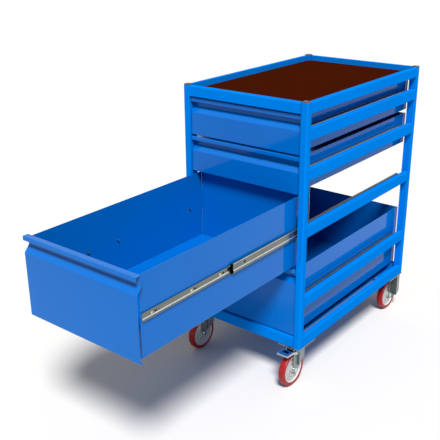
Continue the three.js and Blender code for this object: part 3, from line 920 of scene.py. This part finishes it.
def make_axle_ends(end, side, body):
    """Nut and washer outside each cheek in paler zinc, a painted highlight, and a black disc as painted
    shade for the bore in the axle's end towards the frame's middle.
    """
    centre = wheel_centre(end, side)
    parts = []
    for sign in (-1, 1):
        x = centre.x + sign * CHEEK_FACE
        washer = facing(WASHER_SECTION, sign)
        parts.append(lathe(f"washer_{end}_{side}_{sign}", washer, 28, (x, centre.y, centre.z), closed=True))
        nut_loop = circle(centre.y, centre.z, NUT_ACROSS / math.sqrt(3), 6, NUT_TURN)
        nut_start, nut_end = sorted(x + sign * depth for depth in NUT_SPAN)
        parts.append(extrude(f"nut_{end}_{side}_{sign}", nut_loop, along_x, nut_start, nut_end))
        if sign * centre.x < 0:
            place = (x + sign * BORE_PLACE, centre.y, centre.z)
            bore = lathe(f"axle_bore_{end}_{side}", facing(BORE_SECTION, sign), 18, place)
            piece(f"axle_bore_{end}_{side}", bore, "black_plastic", body)
    name = f"axle_nuts_{end}_{side}"
    piece(name, merged(name, parts), "zinc_steel", body, (), 0.5 * MM, look="bright_zinc")


def make_fork_bend_shade(end, side, body):
    """The bent step between a cheek's leg and its wing, in darker zinc as painted shade."""
    centre = wheel_centre(end, side)
    reach, start, lowest = FORK_WINGS[end]
    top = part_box(f"caster_fork_{end}_{side}")[1].z - BEND_TOP_DROP
    y = centre.y + start
    parts = []
    for sign in (-1, 1):
        near = centre.x + sign * CHEEK_FACE
        far = centre.x + sign * (CHEEK_FACE + reach - BEND_SIDE_GAP)
        loop = [(near, y + BEND_NEAR[0]), (far, y + BEND_FAR[0]), (far, y + BEND_FAR[1]),
                (near, y + BEND_NEAR[1])]
        if sign < 0:
            loop = loop[::-1]
        bottom = centre.z + lowest + BEND_END_GAP
        parts.append(extrude(f"bend_{end}_{side}_{sign}", loop, along_z, bottom, top))
    name = f"fork_bends_{end}_{side}"
    piece(name, merged(name, parts), "zinc_steel", body, look="shade_zinc")


def make_pedal(side):
    """Brake pedal: zinc lever, blue pad with a dark insert, pivot housing and pin."""
    node = f"brake_pedal_front_{side}"
    low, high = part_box(node)
    x = (low.x + high.x) / 2
    half = (high.x - low.x) / 2
    body = f"pedal_{side}"
    eased_node(node, "zinc_steel", body, 0.6 * MM, "bright_zinc")
    pad_front, pad_back = [low.y + y for y in PAD_SPAN]
    hole_front, hole_back = [low.y + y for y in PAD_HOLE_SPAN]
    pad_half = half - PAD_MARGIN
    pad_loop = rounded(box_loop(x - pad_half, pad_front, x + pad_half, pad_back), 3 * MM, 5)
    hole = rounded(box_loop(x - PAD_HOLE_HALF, hole_front, x + PAD_HOLE_HALF, hole_back), 2 * MM, 5)
    pad = plate_with_hole(f"pedal_pad_{side}", pad_loop, hole, high.z + PAD_LOW, high.z + PAD_HIGH)
    piece(f"pedal_pad_{side}", pad, "pedal_plastic", body, (), 0.8 * MM, 3)
    insert_loop = shrunk(hole, x, (hole_front + hole_back) / 2, INSERT_SCALE)
    insert = extrude(
        f"pedal_insert_{side}", insert_loop, along_z, high.z + PAD_LOW, high.z + INSERT_HIGH)
    piece(f"pedal_insert_{side}", insert, "black_plastic", body, (), 0.3 * MM)
    housing_front, housing_back = [high.y + y for y in HOUSING_SPAN]
    housing_loop = box_loop(x - HOUSING_HALF, housing_front, x + HOUSING_HALF, housing_back)
    housing = extrude(
        f"pedal_housing_{side}", rounded(housing_loop, 3 * MM, 4), along_z, low.z + HOUSING_LIFT, high.z)
    piece(f"pedal_housing_{side}", housing, "black_plastic", body, (), 1 * MM)
    reach = half + PIN_PROUD
    pin_y, pin_z = PIN_PLACE
    pin_section = box_loop(0, -reach, PIN_RADIUS, reach)
    pin = lathe(f"pedal_pin_{side}", pin_section, 20, (x, high.y + pin_y, low.z + pin_z))
    piece(f"pedal_pin_{side}", pin, "zinc_steel", body, (), 0.5 * MM)


def make_casters():
    for side, _ in SIDES:
        eased_node(f"caster_plate_front_{side}", "zinc_steel", "frame", 0.8 * MM)
        eased_node(f"caster_fork_front_{side}", "zinc_steel", f"swivel_{side}", 0.7 * MM)
        eased_node(f"caster_fork_rear_{side}", "zinc_steel", "frame", 0.7 * MM)
        make_pedal(side)
        for end, body in (("front", f"swivel_{side}"), ("rear", "frame")):
            make_wheel(end, side)
            make_axle_ends(end, side, body)
            make_fork_bend_shade(end, side, body)


# ---- stage --------------------------------------------------------------------------------------
KEY_DIRECTION = Vector((0.50, -0.55, 1.0))
KEY_STRENGTH = 1.54
KEY_ANGLE = math.radians(15)
SKY_STRENGTH = 0.37              # as fill light
BACKDROP_STRENGTH = 1.0          # where it is seen or mirrored
FLOOR_HALF = 40.0
FLOOR_COLORS = ((0.650, 0.636, 0.620, 1.0), (0.660, 0.646, 0.630, 1.0))


def make_floor():
    """A plain pale paper floor."""
    mesh = bpy.data.meshes.new("floor")
    corners = [(x, y, 0) for x, y in box_loop(-FLOOR_HALF, -FLOOR_HALF, FLOOR_HALF, FLOOR_HALF)]
    mesh.from_pydata(corners, [], [(0, 1, 2, 3)])
    floor = bpy.data.objects.new("floor", mesh)
    bpy.context.scene.collection.objects.link(floor)
    n = Nodes("floor_paper")
    n.feed(n.blend(n.noise(6.0), *FLOOR_COLORS), "Base Color")
    n.set(Roughness=0.9, Specular_IOR_Level=0.0)
    floor.data.materials.append(n.material)


def make_key():
    """One large soft key light from the right, above and in front."""
    sun = bpy.data.lights.new("key", "SUN")
    sun.energy = math.pi * KEY_STRENGTH
    sun.angle = KEY_ANGLE
    key = bpy.data.objects.new("key", sun)
    key.rotation_euler = KEY_DIRECTION.to_track_quat("Z", "Y").to_euler()
    bpy.context.scene.collection.objects.link(key)


def make_sky():
    """An even white dome: a soft fill light, and a white backdrop where it is seen or mirrored."""
    world = bpy.data.worlds.new("studio")
    world.use_nodes = True
    tree = world.node_tree
    background = tree.nodes["Background"]
    background.inputs["Color"].default_value = (1, 1, 1, 1)
    strength = tree.nodes.new("ShaderNodeMapRange")
    strength.inputs["To Min"].default_value = BACKDROP_STRENGTH
    strength.inputs["To Max"].default_value = SKY_STRENGTH
    as_fill = tree.nodes.new("ShaderNodeLightPath").outputs["Is Diffuse Ray"]
    tree.links.new(as_fill, strength.inputs["Value"])
    tree.links.new(strength.outputs["Result"], background.inputs["Strength"])
    bpy.context.scene.world = world
    bpy.context.scene.view_settings.view_transform = "Standard"


# ---- build --------------------------------------------------------------------------------------
make_camera()
make_floor()
make_key()
make_sky()
make_posts()
make_post_flanges()
make_rails()
eased_node("top_panel", "panel_board", "frame", 0.8 * MM)
make_base()
for drawer_number in DRAWERS:
    make_front(drawer_number)
    make_tray(drawer_number)
    make_slides(drawer_number)
make_casters()
